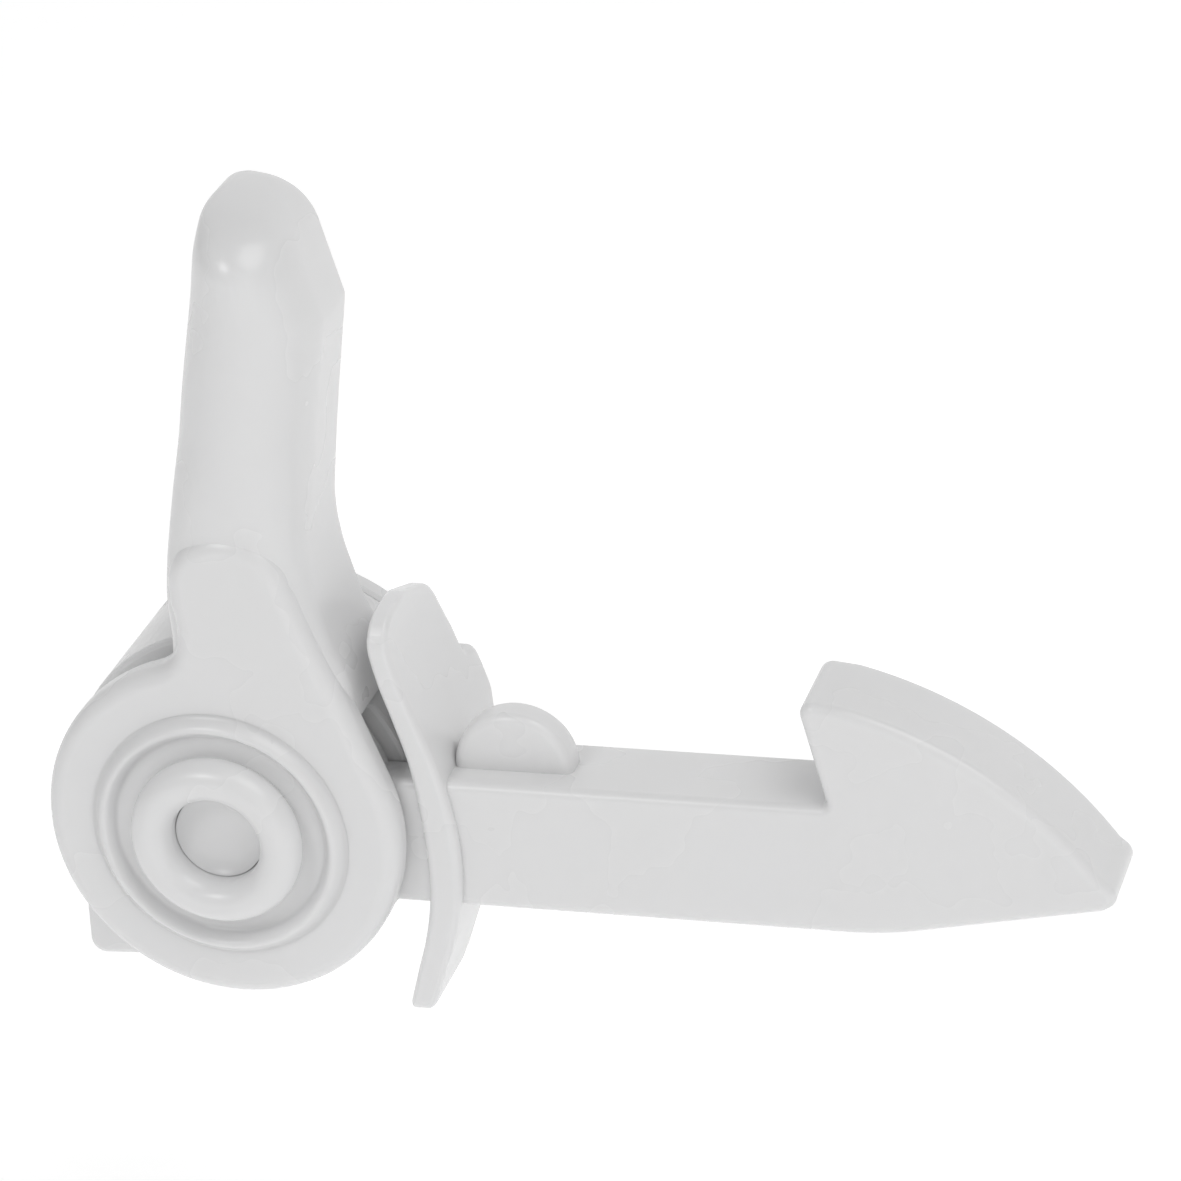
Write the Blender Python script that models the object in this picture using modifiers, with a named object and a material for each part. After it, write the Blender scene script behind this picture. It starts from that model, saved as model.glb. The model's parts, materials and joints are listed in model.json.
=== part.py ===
"""Stair gate latch: a pivoting handle lever over a drum housing, with a hooked latch arm between them.

The frame: +X along the latch arm towards the hook, +Z up the lever, and the flat back of the
drum housing lies in the plane y = 0 with the hub axis through the origin.  The front of the
latch faces -Y, so every depth below is a height in front of the mounting face (y = -height).
All sizes are in millimetres and are turned into metres where the meshes are made.
"""
import math

import bmesh
import bpy
from mathutils import Matrix, Vector

MM = 0.001
GAP = 0.3                       # air between two pieces that touch
RUNNING = 0.08                  # radial play of the spigot in what turns on it
WELD = 0.00001                  # merge distance in metres

# Driving sizes of the hub stack, as heights in front of the mounting face
HUB_R = 20.0                    # drum and lever cheek share this radius
BACK_PLATE_TOP = 2.5
DRUM_TOP = 20.0
CHEEK_LOW = 24.8
FACE = 28.5                     # flat front of the lever's cheek
CHEEK_T = FACE - CHEEK_LOW
WALL = 2.3                      # moulded wall of the drum

# Latch arm
BAR_TOP = 5.9
BAR_BOTTOM = -9.1
ARM_FRONT = CHEEK_LOW - GAP
ARM_BACK = ARM_FRONT - 11.2
ROOT_R = 18.0
HOOK_X = 66.25                   # the face that holds the gate
NOSE_Z = 17.9

# Lever
TILT = math.radians(9.8)        # the lever leans towards the hook
LEVER_REAR = FACE - 15.5
LEVER_CREST = FACE - 0.8
SHOULDER_DEPTH = ((24.0, 4.5), (42.0, 8.0))     # (along, depth behind the face) where the sides begin
SQUARENESS = ((24.0, 3.4), (44.0, 2.0))         # (along, power): 2 is an ellipse
LEVER_END = 70.5                # along the lever from the hub axis
DOME_START = 63.8
RIM = 1.4                       # thickness of the rear edge at the rounded top
CORNER_AT = 59.1                # where the right side's cut corner begins
CORNER_SLOPE = math.radians(24.2)
TOP_LEFT_R = 2.8
TOP_RIGHT_R = 6.2
SHELL = 2.2

# Hub bezel, its spigot and the button inside
BEZEL_R = 14.2
BEZEL_NECK_R = 12.0
SPIGOT_R = 9.0
SPIGOT_LOW = 10.8
SPIGOT_BORE_R = 6.6
BUTTON_HOLE_R = 5.0
BUTTON_R = BUTTON_HOLE_R - GAP
LIP_LOW = 26.0
CLIP_LOW = 11.9
CLIP_HIGH = 12.8

# Spring pockets and fixings
DRUM_FLOOR = 13.0               # inside of the drum's front wall
BUSH_R = 10.3
POCKET_IN = 12.0
POCKET_OUT = 15.4
POCKET_LOW = 15.6
SCREW_RING = 14.3
SCREW_ANGLES = (50.0, 130.0, 270.0)
INSERT_X = 14.0
STEM_R = 2.2

ROUND = 64                      # segments of a large circle
SMALL_ROUND = 24


# ---------------------------------------------------------------- scene and materials
def clear_scene():
    for obj in list(bpy.data.objects):
        bpy.data.objects.remove(obj, do_unlink=True)


def new_collection(name):
    group = bpy.data.collections.new(name)
    bpy.context.scene.collection.children.link(group)
    return group


def material(name, colour, roughness, metallic=0.0):
    mat = bpy.data.materials.new(name)
    mat.use_nodes = True
    shader = mat.node_tree.nodes["Principled BSDF"]
    shader.inputs["Base Color"].default_value = (*colour, 1.0)
    shader.inputs["Roughness"].default_value = roughness
    shader.inputs["Metallic"].default_value = metallic
    return mat


# ---------------------------------------------------------------- outlines, in (x, z)
def arc(cx, cz, radius, start, end, steps):
    """Points on an arc, angles in degrees from +X towards +Z."""
    points = []
    for i in range(steps + 1):
        angle = math.radians(start + (end - start) * i / steps)
        points.append((cx + radius * math.cos(angle), cz + radius * math.sin(angle)))
    return points


def circle(radius, steps=ROUND, cx=0.0, cz=0.0):
    return arc(cx, cz, radius, 0.0, 360.0, steps)[:-1]


def bezier(p0, p1, p2, steps):
    """A quadratic curve from p0 to p2, pulled towards p1."""
    points = []
    for i in range(steps + 1):
        t = i / steps
        s = 1.0 - t
        points.append(tuple(s * s * a + 2.0 * s * t * b + t * t * c for a, b, c in zip(p0, p1, p2)))
    return points


def spline_value(knots, at):
    """A smooth curve through (position, value) knots, with flat-limited slopes."""
    if at <= knots[0][0]:
        return knots[0][1]
    for (a, va), (b, vb) in zip(knots, knots[1:]):
        if at <= b:
            t = (at - a) / (b - a)
            return va + (vb - va) * t * t * (3.0 - 2.0 * t) * 0.5 + (vb - va) * t * 0.5
    return knots[-1][1]


def drum_outline(radius):
    """A round drum with a square heel at the lower left, which stands out a little past the circle."""
    corner = 1.8
    heel = arc(-radius - 0.5 + corner, -radius - 1.1 + corner, corner, 180.0, 270.0, 5)
    return arc(0.0, 0.0, radius, -90.0, 180.0, ROUND) + heel


def cheek_outline():
    """The cheek's circle, with the neck that rises to a round-topped flat on the lever."""
    fillet_r = 4.2
    neck_left = -2.9
    fillet_x = neck_left - fillet_r
    fillet_z = math.sqrt((HUB_R + fillet_r) ** 2 - fillet_x ** 2)
    left_angle = math.degrees(math.atan2(fillet_z, fillet_x))
    points = arc(0.0, 0.0, HUB_R, left_angle, 380.0, ROUND * 3 // 4)
    points += bezier((14.7, 18.2), (12.3, 23.5), (10.6, 29.0), 6)[:-1]
    points += arc(3.5, 28.4, 6.9, 10.0, 170.0, 12)
    points += bezier((-3.3, 27.0), (neck_left, 25.6), (neck_left, fillet_z), 3)[:-1]
    points += arc(fillet_x, fillet_z, fillet_r, 0.0, left_angle - 180.0, 6)[:-1]
    return points


def rounded(corners, steps=3):
    """A polygon of (x, z, radius) corners, each turned into an arc of that radius."""
    points = []
    count = len(corners)
    for i, (x, z, radius) in enumerate(corners):
        here = Vector((x, z))
        back = (Vector(corners[i - 1][:2]) - here).normalized()
        ahead = (Vector(corners[(i + 1) % count][:2]) - here).normalized()
        half = back.angle(ahead) / 2.0
        if radius == 0.0 or half > math.pi / 2.0 - 0.01:
            points.append((x, z))
            continue
        a = back * radius / math.tan(half)
        b = ahead * radius / math.tan(half)
        centre = (back + ahead).normalized() * radius / math.sin(half)
        sweep = (a - centre).angle(b - centre)
        for k in range(steps + 1):
            t = k / steps
            near = (a - centre) * math.sin((1.0 - t) * sweep)
            far = (b - centre) * math.sin(t * sweep)
            p = here + centre + (near + far) / math.sin(sweep)
            points.append((p.x, p.y))
    return points


def arc_through(p0, p1, p2, steps):
    """The arc from p0 to p2 that passes through p1."""
    ax, az = p0
    bx, bz = p1
    cx, cz = p2
    d = 2.0 * (ax * (bz - cz) + bx * (cz - az) + cx * (az - bz))
    sa = ax * ax + az * az
    sb = bx * bx + bz * bz
    sc = cx * cx + cz * cz
    ux = (sa * (bz - cz) + sb * (cz - az) + sc * (az - bz)) / d
    uz = (sa * (cx - bx) + sb * (ax - cx) + sc * (bx - ax)) / d
    start = math.degrees(math.atan2(az - uz, ax - ux))
    end = math.degrees(math.atan2(cz - uz, cx - ux))
    return arc(ux, uz, math.hypot(ax - ux, az - uz), start, end, steps)


def arm_outline():
    """Bar and hook, from the bar's root along the underside to the tip and back over the ramp."""
    root_x = 8.0
    corners = [(root_x, BAR_BOTTOM, 0.0), (71.5, BAR_BOTTOM, 40.0), (95.4, -4.3, 2.4), (97.4, -2.4, 1.8)]
    corners += [(x, z, 0.0) for x, z in arc_through((95.4, -0.5), (85.75, 9.2), (68.0, NOSE_Z - 0.3), 10)]
    corners += [(63.4, NOSE_Z + 0.2, 1.4), (HOOK_X, BAR_TOP, 0.5), (root_x, BAR_TOP, 0.0)]
    return rounded(corners)


# ---------------------------------------------------------------- meshes
def add_object(name, mesh, mat, group):
    obj = bpy.data.objects.new(name, mesh)
    group.objects.link(obj)
    if mat is not None:
        mesh.materials.clear()
        mesh.materials.append(mat)
    return obj


def prism(name, outline, low, high, mat, group, holes=()):
    """A flat outline in (x, z), filled and given its thickness between two heights."""
    curve = bpy.data.curves.new(name, "CURVE")
    curve.dimensions = "2D"
    curve.fill_mode = "BOTH"
    curve.extrude = (high - low) / 2.0 * MM
    for loop in (outline, *holes):
        spline = curve.splines.new("POLY")
        spline.points.add(len(loop) - 1)
        for point, (x, z) in zip(spline.points, loop):
            point.co = (x * MM, z * MM, 0.0, 1.0)
        spline.use_cyclic_u = True
    guide = bpy.data.objects.new(name + "_outline", curve)
    group.objects.link(guide)
    guide.matrix_world = Matrix.Translation((0.0, -(low + high) / 2.0 * MM, 0.0)) @ Matrix.Rotation(
        math.pi / 2.0, 4, "X")
    return curve_to_solid(name, guide, mat, group)


def curve_to_solid(name, guide, mat, group, flat=True):
    """Turn a filled curve into a welded mesh in world space, and remove the curve."""
    bpy.context.view_layer.update()
    graph = bpy.context.evaluated_depsgraph_get()
    mesh = bpy.data.meshes.new_from_object(guide.evaluated_get(graph))
    mesh.name = name
    mesh.transform(guide.matrix_world)
    bpy.data.objects.remove(guide, do_unlink=True)
    bm = bmesh.new()
    bm.from_mesh(mesh)
    bmesh.ops.remove_doubles(bm, verts=bm.verts, dist=WELD)
    if flat:
        bmesh.ops.dissolve_limit(bm, angle_limit=0.001, verts=bm.verts, edges=bm.edges)
    bmesh.ops.recalc_face_normals(bm, faces=bm.faces)
    bm.to_mesh(mesh)
    bm.free()
    return add_object(name, mesh, mat, group)


def turned(name, profile, mat, group, x=0.0, z=0.0, steps=ROUND, closed=True):
    """A turned solid about an axis along Y, from (radius, height) points.

    The profile runs down the outer side, from the top to the bottom.  A closed one is a
    ring; an open one starts and ends on the axis.
    """
    mesh = bpy.data.meshes.new(name)
    count = len(profile)
    edges = [(i, i + 1) for i in range(count - 1)]
    if closed:
        edges.append((count - 1, 0))
    mesh.from_pydata([(r * MM, 0.0, h * MM) for r, h in profile], edges, [])
    obj = add_object(name, mesh, mat, group)
    obj.location = (x * MM, 0.0, z * MM)
    obj.rotation_euler = (math.pi / 2.0, 0.0, 0.0)
    screw = obj.modifiers.new("turn", "SCREW")
    screw.steps = steps
    screw.render_steps = steps
    screw.use_merge_vertices = True
    screw.merge_threshold = WELD
    screw.use_normal_calculate = False
    return obj


def drill(radius, low, high, x=0.0, z=0.0, steps=SMALL_ROUND, name="drill"):
    """A round cutter along Y between two heights."""
    profile = [(0.0, high), (radius, high), (radius, low), (0.0, low)]
    return hide(turned(name, profile, None, CUTTERS, x, z, steps, closed=False))


def hide(cutter):
    cutter.hide_render = True
    cutter.display_type = "WIRE"
    return cutter


def boolean(obj, other, operation="DIFFERENCE"):
    cut = obj.modifiers.new(operation.lower(), "BOOLEAN")
    cut.solver = "EXACT"
    cut.operation = operation
    cut.object = other


def bevel(obj, width, segments=2, angle=40.0):
    edge = obj.modifiers.new("edge", "BEVEL")
    edge.width = width * MM
    edge.segments = segments
    edge.limit_method = "ANGLE"
    edge.angle_limit = math.radians(angle)
    edge.use_clamp_overlap = True


def smooth(obj):
    """Smooth shading on a piece's round faces."""
    obj.data.shade_smooth()
    obj.data.set_sharp_from_angle(angle=math.radians(35.0))


def freeze(obj):
    """Apply the modifiers and the placement, so that further cuts start from plain faces."""
    bpy.context.view_layer.update()
    graph = bpy.context.evaluated_depsgraph_get()
    mesh = bpy.data.meshes.new_from_object(obj.evaluated_get(graph))
    mesh.transform(obj.matrix_world)
    obj.modifiers.clear()
    obj.data = mesh
    obj.matrix_world = Matrix.Identity(4)
    return obj


def loft(name, sections, mat, group):
    """A closed solid through rings of the same number of points, with flat ends."""
    bm = bmesh.new()
    rings = [[bm.verts.new(Vector(p) * MM) for p in ring] for ring in sections]
    count = len(rings[0])
    for low, high in zip(rings, rings[1:]):
        for i in range(count):
            j = (i + 1) % count
            bm.faces.new((low[i], low[j], high[j], high[i]))
    bm.faces.new(rings[0])
    bm.faces.new(rings[-1])
    bmesh.ops.recalc_face_normals(bm, faces=bm.faces)
    mesh = bpy.data.meshes.new(name)
    bm.to_mesh(mesh)
    bm.free()
    return add_object(name, mesh, mat, group)


def coil_points(radius, low, high, turns, per_turn=14):
    """A helix about the hub axis."""
    points = []
    for i in range(int(turns * per_turn) + 1):
        angle = 2.0 * math.pi * i / per_turn
        height = low + (high - low) * i / (turns * per_turn)
        points.append((radius * math.cos(angle), -height, radius * math.sin(angle)))
    return points


def wire(name, points, radius, mat, group):
    """A bent wire as a curve with filled ends."""
    curve = bpy.data.curves.new(name, "CURVE")
    curve.dimensions = "3D"
    curve.bevel_depth = radius * MM
    curve.bevel_resolution = 2
    curve.use_fill_caps = True
    spline = curve.splines.new("POLY")
    spline.points.add(len(points) - 1)
    for point, co in zip(spline.points, points):
        point.co = (co[0] * MM, co[1] * MM, co[2] * MM, 1.0)
    guide = bpy.data.objects.new(name + "_path", curve)
    group.objects.link(guide)
    return curve_to_solid(name, guide, mat, group, flat=False)


def screw_profile(head_low, head_high, head_r, shank_r, tip):
    """A pan-head screw driven forwards from the back: head nearest the mounting face."""
    point = 0.8
    return [(0.0, tip), (shank_r * 0.4, tip), (shank_r, tip - point), (shank_r, head_high),
            (head_r, head_high), (head_r, head_low + 0.5), (head_r - 0.5, head_low), (0.0, head_low)]


def cross_slot(head_low, size, x, z, name):
    """The two crossed slots of a screw's driver recess."""
    first = prism(name + "_a", [(x - size, z - 0.35), (x + size, z - 0.35), (x + size, z + 0.35),
                                (x - size, z + 0.35)], head_low - 1.0, head_low + 0.7, None, CUTTERS)
    second = prism(name + "_b", [(x - 0.35, z - size), (x + 0.35, z - size), (x + 0.35, z + size),
                                 (x - 0.35, z + size)], head_low - 1.0, head_low + 0.7, None, CUTTERS)
    return hide(first), hide(second)


def screw(name, x, z, head_low, head_high, head_r, shank_r, tip):
    obj = turned(name, screw_profile(head_low, head_high, head_r, shank_r, tip), STEEL, PARTS, x, z,
                 SMALL_ROUND, closed=False)
    for slot in cross_slot(head_low, head_r * 0.55, x, z, name + "_slot"):
        boolean(obj, slot)
    return obj


# ---------------------------------------------------------------- fixed housing
def screw_places():
    places = []
    for angle in SCREW_ANGLES:
        turn = math.radians(angle)
        places.append((SCREW_RING * math.cos(turn), SCREW_RING * math.sin(turn)))
    return places


def make_housing():
    """A moulded drum: a front wall with the spring pocket and bearing, posts inside, open back."""
    body = prism("drum_housing", drum_outline(HUB_R), BACK_PLATE_TOP + GAP, DRUM_TOP, WHITE, PARTS)
    bevel(body, 0.6, 2)
    freeze(body)
    hollow = hide(prism("drum_hollow", circle(HUB_R - WALL), -1.0, DRUM_FLOOR, None, CUTTERS))
    posts = screw_places() + [(INSERT_X, 0.0), (-INSERT_X, 0.0)]
    for number, (x, z) in enumerate(posts):
        radius = 2.7 if number < len(SCREW_ANGLES) else 3.5
        post = drill(radius, BACK_PLATE_TOP + GAP, DRUM_FLOOR + 1.0, x, z, name="post")
        boolean(hollow, post)
    boolean(body, hollow)
    boolean(body, drill(BUSH_R + GAP, -1.0, DRUM_TOP + 1.0, steps=ROUND, name="bearing_bore"))
    pocket = [(POCKET_OUT, DRUM_TOP + 1.0), (POCKET_OUT, POCKET_LOW), (POCKET_IN, POCKET_LOW),
              (POCKET_IN, DRUM_TOP + 1.0)]
    boolean(body, hide(turned("spring_pocket", pocket, None, CUTTERS)))
    for x, z in screw_places():
        boolean(body, drill(1.5, -1.0, 11.0, x, z, 16, name="screw_hole"))
    for x in (INSERT_X, -INSERT_X):
        boolean(body, drill(2.6, -1.0, 9.5, x, 0.0, name="insert_hole"))


def make_back_plate():
    """The flat plate that closes the drum and bears on the gate's upright."""
    plate = prism("back_plate", drum_outline(HUB_R), 0.0, BACK_PLATE_TOP, WHITE, PARTS)
    bevel(plate, 0.4, 1)
    for x, z in screw_places():
        boolean(plate, drill(1.5, -1.0, 4.0, x, z, 16, name="plate_hole"))
        boolean(plate, drill(3.0, -1.0, 1.6, x, z, name="head_recess"))
    for x in (INSERT_X, -INSERT_X):
        boolean(plate, drill(2.9, -1.0, 4.0, x, 0.0, name="insert_window"))


def make_housing_fixings():
    for number, (x, z) in enumerate(screw_places(), 1):
        screw(f"housing_screw_{number}", x, z, 0.2, 1.3, 2.6, 1.1, 9.5)
    for side, x in (("right", INSERT_X), ("left", -INSERT_X)):
        profile = [(2.3, 9.0), (2.3, 0.6), (1.5, 0.6), (1.5, 9.0)]
        turned(f"mount_insert_{side}", profile, BRASS, PARTS, x, 0.0, SMALL_ROUND)


def make_bush():
    profile = [(BUSH_R, DRUM_TOP - 0.1), (BUSH_R, DRUM_FLOOR + 0.1), (SPIGOT_R + RUNNING, DRUM_FLOOR + 0.1),
               (SPIGOT_R + RUNNING, DRUM_TOP - 0.1)]
    smooth(turned("pivot_bush", profile, ACETAL, PARTS))


def make_arm_spring():
    """The coil of the torsion spring that lifts the hook, in its pocket in the drum's front wall."""
    smooth(wire("arm_spring", coil_points(13.7, POCKET_LOW + 0.9, DRUM_TOP - 0.9, 3.0), 0.55, STEEL, PARTS))


# ---------------------------------------------------------------- lever
def lever_to_world(across, along):
    """From the lever's own (across, along) to (x, z)."""
    return (across * math.cos(TILT) + along * math.sin(TILT),
            -across * math.sin(TILT) + along * math.cos(TILT))


LEFT_EDGE = ((16.0, -7.6), (21.0, -7.8), (26.5, -8.9), (36.0, -9.5), (48.0, -9.7), (60.0, -9.4))
RIGHT_EDGE = ((16.0, 13.4), (20.4, 12.0), (23.7, 10.0), (27.1, 8.3), (31.0, 6.65), (35.0, 5.6),
              (41.0, 5.2), (59.1, 4.85))


def lever_edges(along):
    """The lever's left and right edges: a round top with a cut corner on the right."""
    left = spline_value(LEFT_EDGE, along)
    right = spline_value(RIGHT_EDGE, along)
    if along > CORNER_AT:
        right -= (along - CORNER_AT) * math.tan(CORNER_SLOPE)
    left_centre = LEVER_END - TOP_LEFT_R
    if along > left_centre:
        rise = min(TOP_LEFT_R, along - left_centre)
        left += TOP_LEFT_R - math.sqrt(TOP_LEFT_R ** 2 - rise ** 2)
    right_centre = LEVER_END - TOP_RIGHT_R
    tangent_at = right_centre + TOP_RIGHT_R * math.sin(CORNER_SLOPE)
    if along > tangent_at:
        meet = RIGHT_EDGE[-1][1] - (tangent_at - CORNER_AT) * math.tan(CORNER_SLOPE)
        across = meet - TOP_RIGHT_R * math.cos(CORNER_SLOPE)
        rise = min(TOP_RIGHT_R, along - right_centre)
        right = across + math.sqrt(TOP_RIGHT_R ** 2 - rise ** 2)
    return left, max(right, left + 0.5)


def lever_section(along, inset=0.0):
    """One D-shaped ring across the lever: round in front, straight sides, flat back.

    Low down, towards the cheek, the front flattens and the sides grow deeper.
    """
    left, right = lever_edges(along)
    left += inset
    right -= inset
    rise = max(0.0, (along - DOME_START) / (LEVER_END - DOME_START))
    fullness = math.sqrt(max(0.0, 1.0 - rise * rise))
    rear = LEVER_REAR - (1.0 if inset else 0.0)
    rim = LEVER_REAR + RIM
    shoulder = rim + (FACE - spline_value(SHOULDER_DEPTH, along) - rim) * fullness
    crest = rim + 0.02 + (LEVER_CREST - inset - rim) * fullness
    power = spline_value(SQUARENESS, along)
    half = (right - left) / 2.0
    middle = (right + left) / 2.0
    ring = []
    steps = 12
    for i in range(steps + 1):
        angle = math.pi * i / steps
        side = math.copysign(abs(math.cos(angle)) ** (2.0 / power), math.cos(angle))
        front = math.sin(angle) ** (2.0 / power) if 0 < i < steps else 0.0
        x, z = lever_to_world(middle - half * side, along)
        ring.append((x, -(shoulder + (crest - shoulder) * front), z))
    for across in (right, left):
        x, z = lever_to_world(across, along)
        ring.append((x, -rear, z))
    return ring


def stations(start, end):
    """Distances along the lever: close together at the flare and at the round top."""
    marks = [16.0, 20.4, 23.7, 27.1, 31.0, 35.0, 41.0, 50.0, 59.1, 63.5, 65.5, 67.1, 68.5, 69.5, 70.3]
    inner = [m for m in marks if start < m < end]
    return [start] + inner + [end]


LEVER_SCREWS = (34.0, 57.0)
COVER_LOW = LEVER_REAR
COVER_HIGH = LEVER_REAR + 2.0
CAVITY_START = 27.0
CAVITY_END = 67.0
LEVER_MIDDLE = -2.4


def cover_outline(start, end, inset):
    """The opening in the lever's back, up one side and down the other."""
    marks = stations(start, end)
    left = [lever_to_world(lever_edges(m)[0] + inset, m) for m in marks]
    right = [lever_to_world(lever_edges(m)[1] - inset, m) for m in reversed(marks)]
    return left + right


def make_lever():
    """The handle with its hub cheek, moulded in one and open behind."""
    shell = loft("lever_shell", [lever_section(a) for a in stations(16.0, LEVER_END)], WHITE, PARTS)
    cheek = hide(prism("cheek", cheek_outline(), CHEEK_LOW, FACE, None, CUTTERS))
    bevel(cheek, 1.6, 2)
    boolean(shell, cheek, "UNION")
    boolean(shell, drill(HUB_R + GAP, 0.0, CHEEK_LOW, steps=ROUND, name="drum_clearance"))
    boolean(shell, drill(BEZEL_NECK_R + GAP, 0.0, FACE + 3.0, steps=ROUND, name="bezel_hole"))
    cavity = [lever_section(a, SHELL) for a in stations(CAVITY_START, CAVITY_END)]
    hollow = hide(loft("lever_hollow", cavity, None, CUTTERS))
    for along in LEVER_SCREWS:
        x, z = lever_to_world(LEVER_MIDDLE, along)
        boolean(hollow, drill(2.8, COVER_HIGH + GAP, FACE + 2.0, x, z, name="lever_post"))
    boolean(shell, hollow)
    for along in LEVER_SCREWS:
        x, z = lever_to_world(LEVER_MIDDLE, along)
        boolean(shell, drill(1.5, COVER_LOW - 2.0, 22.5, x, z, 16, name="lever_screw_hole"))
    smooth(shell)


def make_lever_cover():
    """The flat plate that closes the lever's back."""
    inset = SHELL + GAP
    plate = prism("lever_back", cover_outline(CAVITY_START + GAP, CAVITY_END - GAP, inset), COVER_LOW,
                  COVER_HIGH, WHITE, PARTS)
    for number, along in enumerate(LEVER_SCREWS, 1):
        x, z = lever_to_world(LEVER_MIDDLE, along)
        boolean(plate, drill(1.5, 0.0, FACE, x, z, 16, name="cover_hole"))
        boolean(plate, drill(2.9, 0.0, COVER_LOW + 1.1, x, z, name="cover_recess"))
        screw(f"lever_screw_{number}", x, z, COVER_LOW - 0.2, COVER_LOW + 0.8, 2.5, 1.1, 22.0)


def make_bezel():
    """The raised ring and boss at the hub, with the spigot that everything turns on."""
    boss = arc(7.35, FACE + 1.1, 2.3, 180.0, -31.0, 6)
    bead = arc(12.95, FACE + 0.05, 1.25, 195.0, 12.0, 4)
    profile = boss + [(9.8, FACE - 0.5)] + bead
    profile += [(BEZEL_R, FACE + GAP), (BEZEL_NECK_R, FACE + GAP), (BEZEL_NECK_R, CHEEK_LOW),
                (SPIGOT_R, CHEEK_LOW), (SPIGOT_R, CLIP_HIGH + GAP), (SPIGOT_R - 0.8, CLIP_HIGH + GAP),
                (SPIGOT_R - 0.8, CLIP_LOW - GAP), (SPIGOT_R, CLIP_LOW - GAP), (SPIGOT_R, SPIGOT_LOW),
                (SPIGOT_BORE_R, SPIGOT_LOW), (SPIGOT_BORE_R, LIP_LOW), (BUTTON_HOLE_R, LIP_LOW)]
    smooth(turned("hub_bezel", profile, WHITE, PARTS, steps=48))


def make_clip():
    """A snap ring, open at one side, in the spigot's groove behind the drum's front wall."""
    profile = [(10.1, CLIP_HIGH), (10.1, CLIP_LOW), (SPIGOT_R - 0.5, CLIP_LOW), (SPIGOT_R - 0.5, CLIP_HIGH)]
    ring = turned("pivot_clip", profile, STEEL, PARTS)
    mouth = [(-1.6, -14.0), (1.6, -14.0), (1.6, -6.0), (-1.6, -6.0)]
    boolean(ring, hide(prism("clip_mouth", mouth, CLIP_LOW - 1.0, CLIP_HIGH + 1.0, None, CUTTERS)))


def make_spring_seat():
    """The washer in the spigot's end that the button's spring stands on."""
    profile = [(SPIGOT_BORE_R - GAP, 13.4), (SPIGOT_BORE_R - GAP, 11.4), (STEM_R + GAP, 11.4),
               (STEM_R + GAP, 13.4)]
    smooth(turned("spring_seat", profile, ACETAL, PARTS, steps=SMALL_ROUND * 2))


# ---------------------------------------------------------------- button
BUTTON_TOP = FACE - 0.4
KEY_LOW = 6.0
KEY_HIGH = 8.0


def make_button():
    """A dished push button with a retaining flange and a long stem."""
    profile = [(0.0, BUTTON_TOP - 0.2), (3.0, BUTTON_TOP), (BUTTON_R - 0.4, BUTTON_TOP),
               (BUTTON_R, BUTTON_TOP - 0.4), (BUTTON_R, LIP_LOW - GAP), (SPIGOT_BORE_R - GAP, LIP_LOW - GAP),
               (SPIGOT_BORE_R - GAP, 24.3), (STEM_R, 24.3), (STEM_R, KEY_HIGH + GAP),
               (1.3, KEY_HIGH + GAP), (1.3, KEY_LOW - 0.8), (0.0, KEY_LOW - 0.8)]
    smooth(turned("safety_button", profile, WHITE, PARTS, steps=SMALL_ROUND * 2, closed=False))


def make_button_spring():
    smooth(wire("button_spring", coil_points(4.4, 14.1, 23.6, 5.0), 0.4, STEEL, PARTS))


def make_lock_key():
    """The cross bar on the button's stem, inside the drum."""
    half_length = 9.8
    half_width = 2.6
    outline = arc(0.0, half_length - half_width, half_width, 0.0, 180.0, 8)
    outline += arc(0.0, -half_length + half_width, half_width, 180.0, 360.0, 8)
    key = prism("lock_key", outline, KEY_LOW, KEY_HIGH, STEEL, PARTS)
    boolean(key, drill(1.6, KEY_LOW - 1.0, KEY_HIGH + 1.0, 0.0, 0.0, 16, name="key_hole"))


# ---------------------------------------------------------------- latch arm
TAB_X = 31.1
TAB_R = 6.6
TAB_LOW = FACE - 11.7
TAB_HIGH = FACE - 7.7
PADDLE_NEAR = FACE - 2.8
PADDLE_FAR = FACE - 24.2


def make_arm():
    """Root plate, bar, hook, half-round tab and curved paddle in one moulding, cored out behind."""
    arm = prism("latch_arm", arm_outline(), ARM_BACK, ARM_FRONT, WHITE, PARTS)
    bevel(arm, 0.9, 2, 50.0)
    freeze(arm)
    boolean(arm, drill(HUB_R + GAP, ARM_BACK - 1.0, ARM_FRONT - 4.2, steps=ROUND, name="arm_clearance"))
    boolean(arm, hide(prism("arm_root", circle(ROOT_R), DRUM_TOP + GAP, ARM_FRONT, None, CUTTERS)), "UNION")
    boolean(arm, drill(SPIGOT_R + RUNNING, 0.0, FACE, steps=ROUND, name="arm_bore"))
    tab_outline = arc(TAB_X, BAR_TOP, TAB_R, 0.0, 180.0, 16)
    tab_outline += [(TAB_X - TAB_R, BAR_TOP - 1.0), (TAB_X + TAB_R, BAR_TOP - 1.0)]
    tab = hide(prism("thumb_tab", tab_outline, TAB_LOW, TAB_HIGH, None, CUTTERS))
    bevel(tab, 0.6, 2)
    boolean(arm, tab, "UNION")
    boolean(arm, make_paddle(), "UNION")
    for number, outline in enumerate(arm_pockets()):
        pocket = prism(f"arm_pocket_{number}", outline, ARM_BACK - 1.0, ARM_FRONT - 2.4, None, CUTTERS)
        boolean(arm, hide(pocket))


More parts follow.
